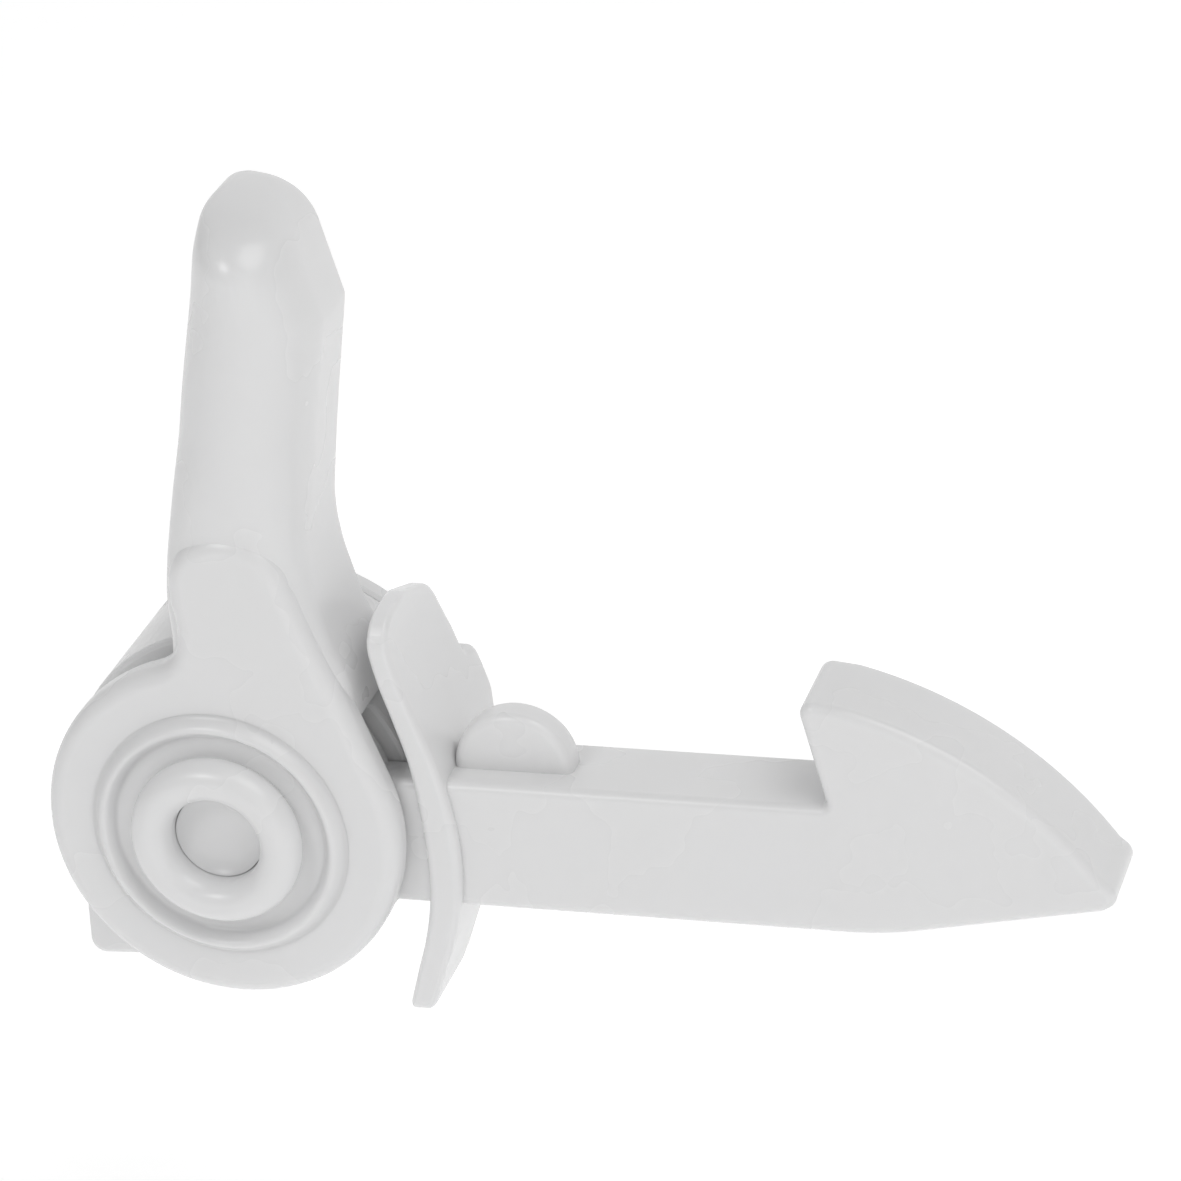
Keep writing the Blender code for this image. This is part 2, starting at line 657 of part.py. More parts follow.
def arm_pockets():
    """Three cores in the back of the arm, with ribs left between them."""
    side = 2.2
    low = BAR_BOTTOM + side
    high = BAR_TOP - side
    pockets = []
    for start, end in ((28.6, 45.0), (47.0, 63.5)):
        pockets.append([(start, low), (end, low), (end, high), (start, high)])
    pockets.append([(68.6, -6.2), (76.4, -5.4), (84.4, -3.7), (92.3, -2.0), (92.6, 1.6), (86.5, 8.0),
                    (79.0, 12.0), (70.0, 14.6), (67.4, 14.8)])
    return pockets


PADDLE_CENTRE = ((-22.0, 19.8), (-17.0, 21.4), (-13.0, 22.7), (-8.0, 23.7), (-3.0, 23.9), (3.0, 23.4),
                 (8.5, 22.4), (13.5, 20.9), (18.0, 19.5), (22.0, 18.7), (26.4, 18.8))
PADDLE_HALF = ((-22.0, 1.4), (-10.0, 1.75), (0.0, 1.9), (10.0, 1.5), (26.4, 1.1))


def paddle_side():
    """The paddle seen along X, as (height, z, corner radius): an upper lobe, a rear ear and a tail."""
    near = PADDLE_NEAR
    far = PADDLE_FAR
    ear = FACE - 21.0
    tail = FACE - 15.5
    corners = [(near, -21.9, 1.2), (near, 25.4, 4.0), (near - 7.4, 25.6, 5.0), (near - 16.3, 22.2, 4.0)]
    corners += [(ear, 16.6, 2.0), (ear, 13.2, 1.0), (far, 12.8, 1.5), (far, 7.6, 3.0), (FACE - 22.0, 3.0, 1.5)]
    corners += [(tail, 2.0, 1.0), (tail, -19.6, 2.0), (FACE - 14.2, -21.9, 1.5)]
    return rounded(corners)


def make_paddle():
    """The curved paddle that crosses the bar beside the hub."""
    right = [(x + spline_value(PADDLE_HALF, z), z) for z, x in PADDLE_CENTRE]
    left = [(x - spline_value(PADDLE_HALF, z), z) for z, x in reversed(PADDLE_CENTRE)]
    blade = hide(prism("paddle_blade", right + left, PADDLE_FAR - 1.0, PADDLE_NEAR + 1.0, None, CUTTERS))
    boolean(blade, hide(side_prism("paddle_side", paddle_side(), 10.0, 35.0)), "INTERSECT")
    return blade


def side_prism(name, outline, x_low, x_high):
    """A flat outline in (height, z), given its thickness along X."""
    flat = prism(name, [(height, z) for height, z in outline], x_low, x_high, None, CUTTERS)
    swap = Matrix(((0.0, -1.0, 0.0, 0.0), (-1.0, 0.0, 0.0, 0.0), (0.0, 0.0, 1.0, 0.0), (0.0, 0.0, 0.0, 1.0)))
    flat.data.transform(swap)
    flat.data.flip_normals()        # exchanging two axes turns the faces inside out
    return flat


# ---------------------------------------------------------------- moving bodies
MOVING = {
    "lever_pivot": ("lever_shell", "lever_back", "lever_screw_1", "lever_screw_2", "hub_bezel",
                    "pivot_clip", "spring_seat"),
    "arm_pivot": ("latch_arm",),
    "button_slide": ("safety_button", "button_spring", "lock_key"),
}


def parent_to_pivots():
    """Each moving body hangs from an empty on the hub axis, which its joint turns or slides."""
    for pivot_name, names in MOVING.items():
        pivot = bpy.data.objects.new(pivot_name, None)
        PARTS.objects.link(pivot)
        for name in names:
            bpy.data.objects[name].parent = pivot
    bpy.data.objects["button_slide"].parent = bpy.data.objects["lever_pivot"]


# ---------------------------------------------------------------- build
clear_scene()
PARTS = new_collection("stair_gate_latch")
CUTTERS = new_collection("cutters")
WHITE = material("white_plastic", (0.80, 0.80, 0.79), 0.28)
STEEL = material("spring_steel", (0.55, 0.56, 0.58), 0.32, 1.0)
BRASS = material("brass_insert", (0.72, 0.55, 0.25), 0.35, 1.0)
ACETAL = material("acetal", (0.86, 0.86, 0.83), 0.45)

make_housing()
make_back_plate()
make_housing_fixings()
make_bush()
make_arm_spring()
make_lever()
make_lever_cover()
make_bezel()
make_clip()
make_spring_seat()
make_button()
make_button_spring()
make_lock_key()
make_arm()
parent_to_pivots()
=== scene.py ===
"""Looks of the stair gate latch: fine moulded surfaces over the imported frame, in glossy white plastic.

All sizes are in millimetres, in the frame of the CAD model: +X along the latch arm to the hook,
+Z up the lever, and depths given as heights in front of the mounting face (y = -height).
"""
import json
import math

import bmesh
import bpy
from mathutils import Matrix, Vector


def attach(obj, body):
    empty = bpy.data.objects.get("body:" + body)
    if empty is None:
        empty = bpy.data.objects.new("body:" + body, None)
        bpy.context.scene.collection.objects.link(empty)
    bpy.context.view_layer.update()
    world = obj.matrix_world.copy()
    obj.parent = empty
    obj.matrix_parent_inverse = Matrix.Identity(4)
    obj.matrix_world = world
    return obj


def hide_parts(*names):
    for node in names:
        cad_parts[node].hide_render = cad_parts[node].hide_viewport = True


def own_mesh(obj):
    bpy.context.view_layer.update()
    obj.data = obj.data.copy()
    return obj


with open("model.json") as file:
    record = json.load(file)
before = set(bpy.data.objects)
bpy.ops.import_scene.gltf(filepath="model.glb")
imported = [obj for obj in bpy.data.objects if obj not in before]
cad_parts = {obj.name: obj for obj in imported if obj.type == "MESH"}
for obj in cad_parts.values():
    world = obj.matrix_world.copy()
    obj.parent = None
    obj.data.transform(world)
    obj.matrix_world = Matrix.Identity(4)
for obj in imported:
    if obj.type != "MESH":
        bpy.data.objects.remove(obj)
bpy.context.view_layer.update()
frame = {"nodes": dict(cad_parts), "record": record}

MM = 0.001
GAP = 0.3                       # air between pieces that touch
RUNNING = 0.08                  # radial play at the spigot
WELD = 0.000002                 # merge distance in metres
FINE = 0.8                      # spacing of rings along the lever and of cuts across the paddle
COARSE = 3.0                    # the same inside the lever
CUT_PAST = 1.0                  # how far a cutter passes the surface it cuts
SHARP = math.radians(32.0)      # edges sharper than this stay crisp

# Hub stack
HUB_R = 20.0
DRUM_TOP = 20.0
CHEEK_LOW = 24.8
FACE = 28.5                     # flat front of the lever's cheek
EDGE_R = 2.0                    # rounded front edge of the cheek
BACK_EDGE_R = 0.5

# Latch arm
BAR_TOP = 5.9
BAR_BOTTOM = -9.1
ARM_FRONT = CHEEK_LOW - GAP
ARM_BACK = ARM_FRONT - 11.2
ARM_SKIN = 2.4                  # front wall left over the arm's pockets
ARM_WALL = 2.2                  # side walls round the bar's pockets
ARM_FRONT_R = 1.1
ARM_BACK_R = 0.8
ROOT_X = 8.0                    # where the bar starts, inside its root plate
ROOT_R = 18.0
ROOT_RELIEF = 4.2               # from the arm's front back to where the drum's recess starts
HOOK_X = 66.25
NOSE_Z = 17.9
TAB_X = 31.1
TAB_R = 6.6
TAB_LOW = FACE - 11.7
TAB_HIGH = FACE - 7.7
TAB_FOOT = 2.0                  # how far the tab reaches down into the bar
POCKETS = ((28.6, 45.0), (47.0, 63.5))
PADDLE_NEAR = FACE - 2.8
PADDLE_FAR = FACE - 24.2
PADDLE_LOW = -21.5
PADDLE_SPAN = 47.0

# Lever
TILT = math.radians(9.8)
LEVER_REAR = FACE - 15.5
LEVER_CREST = FACE - 0.45
LEVER_END = 70.5
DOME_START = 63.8
RIM = 1.4                       # thickness of the lever's rear edge at its rounded top
CORNER_AT = 59.1                # where the right side's cut corner begins
CORNER_SLOPE = math.radians(24.2)
TOP_LEFT_R = 2.8
TOP_RIGHT_R = 6.2
SHELL = 2.2                     # wall of the lever
COVER = 2.0                     # thickness of the lever's back cover

# Knots along the lever, as (distance from the hub, value): how far its shoulders lie behind the
# face, how square its front is (2 is an ellipse), and its edges across.
SHOULDER_DEPTH = ((24.0, 4.5), (42.0, 8.0))
SQUARENESS = ((24.0, 3.4), (44.0, 2.0))
LEFT_EDGE = ((16.0, -7.6), (21.0, -7.8), (26.5, -8.9), (36.0, -9.5), (48.0, -9.7), (60.0, -9.4))
RIGHT_EDGE = ((16.0, 13.4), (20.4, 12.0), (23.7, 10.0), (27.1, 8.3), (31.0, 6.65), (35.0, 5.6),
              (41.0, 5.2), (59.1, 4.85))

REAR_CORNER = 0.7
LEVER_START = 16.0
LEVER_SCREWS = (34.0, 57.0)
LEVER_MIDDLE = -2.4
SCREW_POST_R = 2.8
PILOT_R = 1.5
PILOT_END = 22.5
CAVITY_START = 27.0
CAVITY_END = 67.0

# Hub bezel and button. The recess and the button's dish are (radius, height) knots.
BOSS_R = 7.35                   # middle of the boss's round lip
BOSS_ROUND = 2.3
BOSS_RISE = 1.1
RECESS = ((9.6, -0.2), (10.1, -0.28), (10.8, -0.3), (11.3, -0.26))
BEAD_R = 13.0
BEAD_HALF = 1.5
BEAD_RISE = 1.2
BEAD_FOOT_IN = FACE - 0.2
BEAD_FOOT_OUT = FACE + 0.06
BEZEL_SEAT = FACE + 0.03        # underside of the bead's rim, just clear of the cheek
BEZEL_R = 14.5
BEZEL_NECK_R = 12.0
SPIGOT_R = 9.0
SPIGOT_LOW = 10.8
SPIGOT_BORE_R = 6.6
BUTTON_HOLE_R = 5.0
BUTTON_R = BUTTON_HOLE_R - 0.06
LIP_LOW = 26.0
CLIP_LOW = 11.9
CLIP_HIGH = 12.8
CLIP_GROOVE = 0.8
BUTTON_TOP = FACE - 0.4
AXIS_R = 0.02                   # a profile stops this far from the hub axis
DISH = ((AXIS_R, -0.35), (2.0, -0.32), (3.3, -0.2), (4.2, 0.05), (4.7, 0.35), (BUTTON_R, 0.6))
FLANGE_LOW = 24.3
STEM_R = 2.2
KEY_STEM_R = 1.3
KEY_LOW = 6.0
KEY_HIGH = 8.0
STEM_END = KEY_LOW - 0.8

# Springs
ARM_COIL_R = 13.7
ARM_WIRE_R = 0.55
ARM_COIL_LOW = 16.5
ARM_COIL_HIGH = 19.1
ARM_COIL_TURNS = 3.0
BUTTON_COIL_R = 4.4
BUTTON_WIRE_R = 0.4
COIL_LOW = 14.1
COIL_HIGH = 23.6
BUTTON_COIL_TURNS = 5.0


# ---------------------------------------------------------------- outlines, in (x, z)
def arc(cx, cz, radius, start, end, steps):
    """Points on an arc, angles in degrees from +X towards +Z."""
    points = []
    for i in range(steps + 1):
        angle = math.radians(start + (end - start) * i / steps)
        points.append((cx + radius * math.cos(angle), cz + radius * math.sin(angle)))
    return points


def circle(radius, steps=128):
    return arc(0.0, 0.0, radius, 0.0, 360.0, steps)[:-1]


def bezier(p0, p1, p2, steps=24):
    """A quadratic curve from p0 to p2, pulled towards p1."""
    points = []
    for i in range(steps + 1):
        t = i / steps
        s = 1.0 - t
        points.append(tuple(s * s * a + 2.0 * s * t * b + t * t * c for a, b, c in zip(p0, p1, p2)))
    return points


def smooth_value(knots, at):
    """A cubic through (position, value) knots whose slope is the mean of its neighbours' slopes."""
    if at <= knots[0][0]:
        return knots[0][1]
    if at >= knots[-1][0]:
        return knots[-1][1]
    slopes = [(b[1] - a[1]) / (b[0] - a[0]) for a, b in zip(knots, knots[1:])]
    tangents = [slopes[0]] + [(a + b) / 2.0 for a, b in zip(slopes, slopes[1:])] + [slopes[-1]]
    for i, ((a, va), (b, vb)) in enumerate(zip(knots, knots[1:])):
        if at <= b:
            span = b - a
            t = (at - a) / span
            return (va * (1.0 + 2.0 * t) * (1.0 - t) ** 2 + vb * t * t * (3.0 - 2.0 * t)
                    + span * tangents[i] * t * (1.0 - t) ** 2 - span * tangents[i + 1] * t * t * (1.0 - t))


def rounded(corners, steps=8):
    """A polygon of (x, z, radius) corners, each turned into an arc of that radius."""
    points = []
    count = len(corners)
    for i, (x, z, radius) in enumerate(corners):
        here = Vector((x, z))
        back = (Vector(corners[i - 1][:2]) - here).normalized()
        ahead = (Vector(corners[(i + 1) % count][:2]) - here).normalized()
        half = back.angle(ahead) / 2.0
        if radius == 0.0 or half > math.pi / 2.0 - 0.01:
            points.append((x, z))
            continue
        start = here + back * radius / math.tan(half)
        end = here + ahead * radius / math.tan(half)
        centre = here + (back + ahead).normalized() * radius / math.sin(half)
        a = start - centre
        b = end - centre
        sweep = a.angle(b)
        for k in range(steps + 1):
            t = k / steps
            p = centre + (a * math.sin((1.0 - t) * sweep) + b * math.sin(t * sweep)) / math.sin(sweep)
            points.append((p.x, p.y))
    return points


def cheek_outline():
    """The cheek's circle, with the neck that rises to a round-topped flat on the lever."""
    fillet_r = 4.2
    neck_left = -2.9
    fillet_x = neck_left - fillet_r
    fillet_z = math.sqrt((HUB_R + fillet_r) ** 2 - fillet_x ** 2)
    left_angle = math.degrees(math.atan2(fillet_z, fillet_x))
    points = arc(0.0, 0.0, HUB_R, left_angle, 380.0, 180)
    points += bezier((14.7, 18.2), (12.3, 23.5), (10.6, 29.0), 16)[:-1]
    points += arc(3.5, 28.4, 6.9, 10.0, 170.0, 32)
    points += bezier((-3.3, 27.0), (neck_left, 25.6), (neck_left, fillet_z), 8)[:-1]
    points += arc(fillet_x, fillet_z, fillet_r, 0.0, left_angle - 180.0, 16)[:-1]
    return points


def arc_through(p0, p1, p2, steps):
    """The arc from p0 to p2 that passes through p1."""
    ax, az = p0
    bx, bz = p1
    cx, cz = p2
    d = 2.0 * (ax * (bz - cz) + bx * (cz - az) + cx * (az - bz))
    sa = ax * ax + az * az
    sb = bx * bx + bz * bz
    sc = cx * cx + cz * cz
    ux = (sa * (bz - cz) + sb * (cz - az) + sc * (az - bz)) / d
    uz = (sa * (cx - bx) + sb * (ax - cx) + sc * (bx - ax)) / d
    start = math.degrees(math.atan2(az - uz, ax - ux))
    end = math.degrees(math.atan2(cz - uz, cx - ux))
    return arc(ux, uz, math.hypot(ax - ux, az - uz), start, end, steps)


def arm_outline():
    """Bar and hook, from the bar's root along the underside to the tip and back over the ramp."""
    corners = [(ROOT_X, BAR_BOTTOM, 0.0), (71.5, BAR_BOTTOM, 40.0), (95.2, -4.3, 2.2), (97.5, -2.7, 1.5)]
    corners += [(x, z, 0.0) for x, z in arc_through((95.2, -0.8), (85.6, 9.15), (68.0, NOSE_Z - 0.3), 40)]
    corners += [(63.4, NOSE_Z + 0.2, 1.4), (HOOK_X, BAR_TOP, 0.5), (ROOT_X, BAR_TOP, 0.0)]
    return rounded(corners, 10)


# ---------------------------------------------------------------- meshes
def add_object(name, mesh):
    obj = bpy.data.objects.new(name, mesh)
    bpy.context.scene.collection.objects.link(obj)
    return obj


def clean(mesh):
    """Weld a mesh and turn its faces outwards."""
    bm = bmesh.new()
    bm.from_mesh(mesh)
    bmesh.ops.remove_doubles(bm, verts=bm.verts, dist=WELD)
    bmesh.ops.recalc_face_normals(bm, faces=bm.faces)
    bm.to_mesh(mesh)
    bm.free()


def inset(outline, amount):
    """The outline moved inwards by an amount, each corner along its own bisector."""
    count = len(outline)
    area = sum(outline[i - 1][0] * p[1] - p[0] * outline[i - 1][1] for i, p in enumerate(outline))
    turn = 1.0 if area > 0.0 else -1.0
    points = []
    for i, (x, z) in enumerate(outline):
        back = Vector((x - outline[i - 1][0], z - outline[i - 1][1])).normalized()
        ahead = Vector((outline[(i + 1) % count][0] - x, outline[(i + 1) % count][1] - z)).normalized()
        inward = (Vector((-back.y, back.x)) + Vector((-ahead.y, ahead.x))) * turn
        reach = amount * 2.0 / inward.length_squared
        points.append((x + inward.x * reach, z + inward.y * reach))
    return points


def prism(name, outline, low, high, front_r=0.0, back_r=0.0):
    """A flat outline in (x, z), with its thickness between two heights and rounded rims."""
    levels = []
    steps = 6
    for centre, radius, start in ((low + back_r, back_r, -90.0), (high - front_r, front_r, 0.0)):
        if radius == 0.0:
            levels.append((0.0, centre))
            continue
        for i in range(steps + 1):
            angle = math.radians(start + 90.0 * i / steps)
            levels.append((radius * (1.0 - math.cos(angle)), centre + radius * math.sin(angle)))
    rings = []
    for amount, height in levels:
        rings.append([(x, -height, z) for x, z in inset(outline, amount)])
    return loft(name, rings)


def turned(name, profile, steps=128, closed=True):
    """A turned solid about the hub axis, from (radius, height) points down its outer side."""
    bm = bmesh.new()
    rings = []
    for radius, height in profile:
        ring = []
        for i in range(steps):
            angle = 2.0 * math.pi * i / steps
            point = Vector((radius * math.cos(angle), -height, radius * math.sin(angle)))
            ring.append(bm.verts.new(point * MM))
        rings.append(ring)
    pairs = list(zip(rings, rings[1:]))
    if closed:
        pairs.append((rings[-1], rings[0]))
    for high, low in pairs:
        for i in range(steps):
            j = (i + 1) % steps
            bm.faces.new((high[i], high[j], low[j], low[i]))
    if not closed:
        bm.faces.new(rings[0])
        bm.faces.new(rings[-1])
    mesh = bpy.data.meshes.new(name)
    bm.to_mesh(mesh)
    bm.free()
    clean(mesh)
    return add_object(name, mesh)


def loft(name, sections):
    """A closed solid through rings of the same number of points, with flat ends."""
    bm = bmesh.new()
    rings = [[bm.verts.new(Vector(p) * MM) for p in ring] for ring in sections]
    count = len(rings[0])
    for low, high in zip(rings, rings[1:]):
        for i in range(count):
            j = (i + 1) % count
            bm.faces.new((low[i], low[j], high[j], high[i]))
    bm.faces.new(rings[0])
    bm.faces.new(rings[-1])
    mesh = bpy.data.meshes.new(name)
    bm.to_mesh(mesh)
    bm.free()
    clean(mesh)
    return add_object(name, mesh)


def drill(radius, low, high, x=0.0, z=0.0, steps=32):
    outline = [(x + px, z + pz) for px, pz in circle(radius, steps)]
    return prism("drill", outline, low, high)


def boolean(obj, other, operation="DIFFERENCE"):
    """Cut, join or intersect two solids at once, and remove the second."""
    cut = obj.modifiers.new("cut", "BOOLEAN")
    cut.solver = "EXACT"
    cut.operation = operation
    cut.object = other
    apply_modifiers(obj)
    bpy.data.objects.remove(other, do_unlink=True)


def apply_modifiers(obj):
    bpy.context.view_layer.update()
    graph = bpy.context.evaluated_depsgraph_get()
    mesh = bpy.data.meshes.new_from_object(obj.evaluated_get(graph))
    obj.modifiers.clear()
    obj.data = mesh


def finish_surface(obj):
    """Smooth shading that keeps flat faces flat next to their rounded edges."""
    obj.data.shade_smooth()
    obj.data.set_sharp_from_angle(angle=SHARP)
    normal = obj.modifiers.new("normals", "WEIGHTED_NORMAL")
    normal.keep_sharp = True
    normal.weight = 60


# ---------------------------------------------------------------- lever
def lever_to_world(across, along):
    """From the lever's own (across, along) to (x, z)."""
    return (across * math.cos(TILT) + along * math.sin(TILT),
            -across * math.sin(TILT) + along * math.cos(TILT))


def lever_edges(along):
    """The lever's left and right edges: a round top with a cut corner on the right."""
    left = smooth_value(LEFT_EDGE, along)
    right = smooth_value(RIGHT_EDGE, along)
    if along > CORNER_AT:
        right -= (along - CORNER_AT) * math.tan(CORNER_SLOPE)
    left_centre = LEVER_END - TOP_LEFT_R
    if along > left_centre:
        rise = min(TOP_LEFT_R, along - left_centre)
        left += TOP_LEFT_R - math.sqrt(TOP_LEFT_R ** 2 - rise ** 2)
    right_centre = LEVER_END - TOP_RIGHT_R
    tangent_at = right_centre + TOP_RIGHT_R * math.sin(CORNER_SLOPE)
    if along > tangent_at:
        meet = RIGHT_EDGE[-1][1] - (tangent_at - CORNER_AT) * math.tan(CORNER_SLOPE)
        across = meet - TOP_RIGHT_R * math.cos(CORNER_SLOPE)
        rise = min(TOP_RIGHT_R, along - right_centre)
        right = across + math.sqrt(TOP_RIGHT_R ** 2 - rise ** 2)
    return left, max(right, left + 0.5)


def lever_section(along, wall=0.0):
    """One D-shaped ring across the lever: round in front, straight sides, flat back.

    Low down, towards the cheek, the front flattens and the sides grow deeper. With a wall, it is
    the ring of the hollow inside, which runs out through the back.
    """
    left, right = lever_edges(along)
    left += wall
    right -= wall
    rise = max(0.0, (along - DOME_START) / (LEVER_END - DOME_START))
    fullness = math.sqrt(max(0.0, 1.0 - rise * rise))
    rear = LEVER_REAR - (CUT_PAST if wall else 0.0)
    rim = LEVER_REAR + RIM
    shoulder = rim + (FACE - smooth_value(SHOULDER_DEPTH, along) - rim) * fullness
    crest = rim + 0.02 + (LEVER_CREST - wall - rim) * fullness
    power = smooth_value(SQUARENESS, along)
    half = (right - left) / 2.0
    middle = (right + left) / 2.0
    ring = []
    steps = 40
    for i in range(steps + 1):
        angle = math.pi * i / steps
        side = math.copysign(abs(math.cos(angle)) ** (2.0 / power), math.cos(angle))
        front = math.sin(angle) ** (2.0 / power) if 0 < i < steps else 0.0
        x, z = lever_to_world(middle - half * side, along)
        ring.append((x, -(shoulder + (crest - shoulder) * front), z))
    corner = min(REAR_CORNER, half * 0.5, (shoulder - rear) * 0.5)
    corner_steps = 4
    for direction in (1.0, -1.0):
        for k in range(corner_steps + 1):
            angle = math.pi / 2.0 * (k if direction > 0.0 else corner_steps - k) / corner_steps
            across = middle + direction * (half - corner + corner * math.cos(angle))
            x, z = lever_to_world(across, along)
            ring.append((x, -(rear + corner - corner * math.sin(angle)), z))
    return ring


def stations(start, end, step):
    """Distances along the lever: even, then closing up as the top rounds over."""
    turn = LEVER_END - TOP_LEFT_R
    marks = [start]
    while marks[-1] + step < min(end, turn):
        marks.append(marks[-1] + step)
    if end <= turn:
        return marks + [end]
    quarter = 14
    for i in range(quarter + 1):
        along = turn + TOP_LEFT_R * math.sin(math.pi / 2.0 * i / quarter)
        if along < end - 0.001:
            marks.append(along)
    return marks + [end]


def make_lever():
    """The handle with its hub cheek, in one moulding, hollowed from behind where its cover plate sits."""
    shell = loft("lever", [lever_section(along) for along in stations(LEVER_START, LEVER_END, FINE)])
    cheek = prism("cheek", cheek_outline(), CHEEK_LOW, FACE, EDGE_R, BACK_EDGE_R)
    boolean(shell, cheek, "UNION")
    boolean(shell, drill(HUB_R + GAP, 0.0, CHEEK_LOW, steps=160))
    boolean(shell, drill(BEZEL_NECK_R + GAP, 0.0, FACE + 3.0 * CUT_PAST, steps=128))
    inside = [lever_section(along, SHELL) for along in stations(CAVITY_START, CAVITY_END, COARSE)]
    hollow = loft("lever_hollow", inside)
    for along in LEVER_SCREWS:
        x, z = lever_to_world(LEVER_MIDDLE, along)
        boolean(hollow, drill(SCREW_POST_R, LEVER_REAR + COVER + GAP, FACE + 2.0 * CUT_PAST, x, z))
    boolean(shell, hollow)
    for along in LEVER_SCREWS:
        x, z = lever_to_world(LEVER_MIDDLE, along)
        boolean(shell, drill(PILOT_R, LEVER_REAR - 2.0 * CUT_PAST, PILOT_END, x, z, 24))
    return shell


def make_bezel():
    """The raised ring and boss at the hub, with the spigot that everything turns on."""
    profile = arc(BOSS_R, FACE + BOSS_RISE, BOSS_ROUND, 180.0, -31.0, 28)
    profile += [(radius, FACE + height) for radius, height in RECESS]
    for i in range(21):
        t = -1.0 + i / 10.0
        foot = BEAD_FOOT_IN if t < 0.0 else BEAD_FOOT_OUT
        swell = math.cos(math.pi / 2.0 * t) ** 2
        profile.append((BEAD_R + BEAD_HALF * t, foot + (FACE + BEAD_RISE - foot) * swell))
    profile += [(BEZEL_R, BEZEL_SEAT), (BEZEL_NECK_R, BEZEL_SEAT)]
    profile += [(BEZEL_NECK_R, CHEEK_LOW), (SPIGOT_R, CHEEK_LOW)]
    profile += [(SPIGOT_R, CLIP_HIGH + GAP), (SPIGOT_R - CLIP_GROOVE, CLIP_HIGH + GAP)]
    profile += [(SPIGOT_R - CLIP_GROOVE, CLIP_LOW - GAP), (SPIGOT_R, CLIP_LOW - GAP)]
    profile += [(SPIGOT_R, SPIGOT_LOW), (SPIGOT_BORE_R, SPIGOT_LOW), (SPIGOT_BORE_R, LIP_LOW)]
    profile += [(BUTTON_HOLE_R, LIP_LOW)]
    return turned("hub_boss", profile)


def make_button():
    """A dished push button with a retaining flange and a long stem."""
    profile = [(radius, BUTTON_TOP + height) for radius, height in DISH]
    profile += [(BUTTON_R, LIP_LOW - GAP), (SPIGOT_BORE_R - GAP, LIP_LOW - GAP)]
    profile += [(SPIGOT_BORE_R - GAP, FLANGE_LOW), (STEM_R, FLANGE_LOW), (STEM_R, KEY_HIGH + GAP)]
    profile += [(KEY_STEM_R, KEY_HIGH + GAP), (KEY_STEM_R, STEM_END), (AXIS_R, STEM_END)]
    return turned("push_button", profile, 96, closed=False)


def make_coil(name, radius, wire_r, low, high, turns):
    """A helix of round wire about the hub axis."""
    per_turn = 36
    sides = 12
    sections = []
    for i in range(int(turns * per_turn) + 1):
        turn = 2.0 * math.pi * i / per_turn
        height = low + (high - low) * i / (turns * per_turn)
        ring = []
        for across, along in circle(wire_r, sides):
            out = radius + across
            ring.append((out * math.cos(turn), -(height + along), out * math.sin(turn)))
        sections.append(ring)
    return loft(name, sections)


# ---------------------------------------------------------------- latch arm
PADDLE_CENTRE = ((-22.0, 19.8), (-17.0, 21.4), (-13.0, 22.7), (-8.0, 23.7), (-3.0, 23.9), (3.0, 23.4),
                 (8.5, 22.4), (13.5, 20.9), (18.0, 19.5), (22.0, 18.7), (26.4, 18.8))
PADDLE_HALF = ((-22.0, 1.4), (-10.0, 1.75), (0.0, 1.9), (10.0, 1.5), (26.4, 1.1))


def paddle_side():
    """The paddle seen along X, as (depth behind the face, z, corner radius)."""
    near = FACE - PADDLE_NEAR
    far = FACE - PADDLE_FAR
    return [(near, -21.9, 1.2), (near, 25.0, 4.0), (near + 7.6, 25.3, 5.0), (near + 16.8, 22.0, 4.0),
            (21.0, 16.6, 2.0), (21.0, 13.2, 1.0), (far, 12.8, 1.5), (far, 7.6, 3.0), (22.0, 3.0, 1.5),
            (15.5, 2.0, 1.0), (15.5, -19.6, 2.0), (14.2, -21.9, 1.5)]


def make_paddle():
    """The paddle that crosses the bar: a flat plate with rounded edges, then bent to its curve."""
    half = 2.0
    blade = prism("paddle", rounded(paddle_side()), -half, half, 1.0, 1.0)
    bm = bmesh.new()
    bm.from_mesh(blade.data)
    for i in range(int(PADDLE_SPAN / FINE)):
        geometry = bm.verts[:] + bm.edges[:] + bm.faces[:]
        level = (0.0, 0.0, (PADDLE_LOW + i * FINE) * MM)
        bmesh.ops.bisect_plane(bm, geom=geometry, dist=WELD, plane_co=level, plane_no=(0.0, 0.0, 1.0))
    for vert in bm.verts:
        depth, side, z = vert.co / MM
        x = smooth_value(PADDLE_CENTRE, z) + side * smooth_value(PADDLE_HALF, z) / half
        vert.co = Vector((x, depth - FACE, z)) * MM
    bmesh.ops.recalc_face_normals(bm, faces=bm.faces)
    bm.to_mesh(blade.data)
    bm.free()
    return blade


def arm_pockets():
    """Three cores in the back of the arm, with ribs left between them."""
    low = BAR_BOTTOM + ARM_WALL
    high = BAR_TOP - ARM_WALL
    pockets = []
    for start, end in POCKETS:
        pockets.append(rounded([(start, low, 1.0), (end, low, 1.0), (end, high, 1.0), (start, high, 1.0)]))
    pockets.append([(68.6, -6.2), (76.4, -5.4), (84.4, -3.7), (92.3, -2.0), (92.6, 1.6), (86.5, 8.0),
                    (79.0, 12.0), (70.0, 14.6), (67.4, 14.8)])
    return pockets


